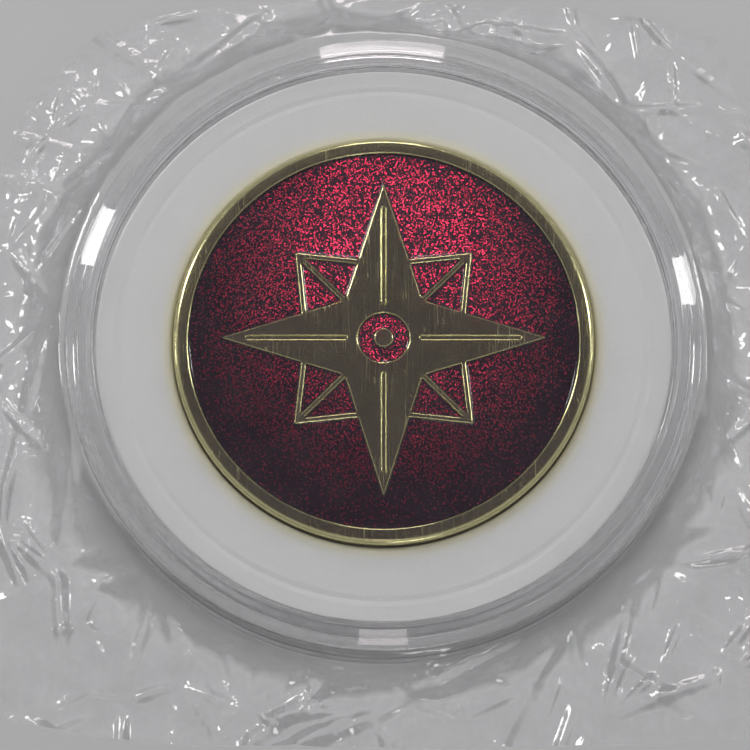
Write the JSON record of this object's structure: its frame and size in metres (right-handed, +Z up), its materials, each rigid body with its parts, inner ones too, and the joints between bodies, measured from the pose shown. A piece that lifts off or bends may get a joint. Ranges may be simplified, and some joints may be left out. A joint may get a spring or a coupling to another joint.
{
  "type": "challenge coin",
  "caption": "Round struck metal coin with glitter enamel round a raised compass rose, in a foam ring and a clear snap capsule, inside a clear film bag.",
  "frame": {"origin": "on the coin's axis, at the underside of the bag's back film, which is the face the object lies on", "axes": "+Z up along the coin's axis from the reverse to the obverse, +Y towards the north point of the compass rose, +X to the right as the obverse is read"},
  "size_m": [0.073, 0.0705, 0.0072],
  "materials": {
    "gold_plate": "polished gold plating, lightly scratched",
    "red_glitter_enamel": "translucent red enamel with fine glitter, glossy",
    "white_foam": "closed-cell white foam, matt",
    "clear_styrene": "clear moulded polystyrene, glossy",
    "clear_film": "thin clear crumpled polypropylene film"
  },
  "bodies": {
    "bag_back": {"bag_back_film": "clear_film"},
    "base": {"capsule_base": "clear_styrene"},
    "foam": {"foam_ring": "white_foam"},
    "coin": {"coin_blank": "gold_plate", "enamel_ground": "red_glitter_enamel", "enamel_centre": "red_glitter_enamel", "enamel_northeast_a": "red_glitter_enamel", "enamel_northeast_b": "red_glitter_enamel", "enamel_northwest_a": "red_glitter_enamel", "enamel_northwest_b": "red_glitter_enamel", "enamel_southwest_a": "red_glitter_enamel", "enamel_southwest_b": "red_glitter_enamel", "enamel_southeast_a": "red_glitter_enamel", "enamel_southeast_b": "red_glitter_enamel"},
    "lid": {"capsule_lid": "clear_styrene"},
    "bag_front": {"bag_front_film": "clear_film"}
  },
  "joints": [
    {"name": "capsule_lift", "type": "slide", "parent": "bag_back", "child": "base", "axis": [0, 0, 1], "range_m": [0, 0.01]},
    {"name": "foam_lift", "type": "slide", "parent": "base", "child": "foam", "axis": [0, 0, 1], "range_m": [0, 0.01]},
    {"name": "coin_lift", "type": "slide", "parent": "foam", "child": "coin", "axis": [0, 0, 1], "range_m": [0, 0.01]},
    {"name": "lid_lift", "type": "slide", "parent": "coin", "child": "lid", "axis": [0, 0, 1], "range_m": [0, 0.015]},
    {"name": "bag_front_lift", "type": "slide", "parent": "lid", "child": "bag_front", "axis": [0, 0, 1], "range_m": [0, 0.015]}
  ]
}
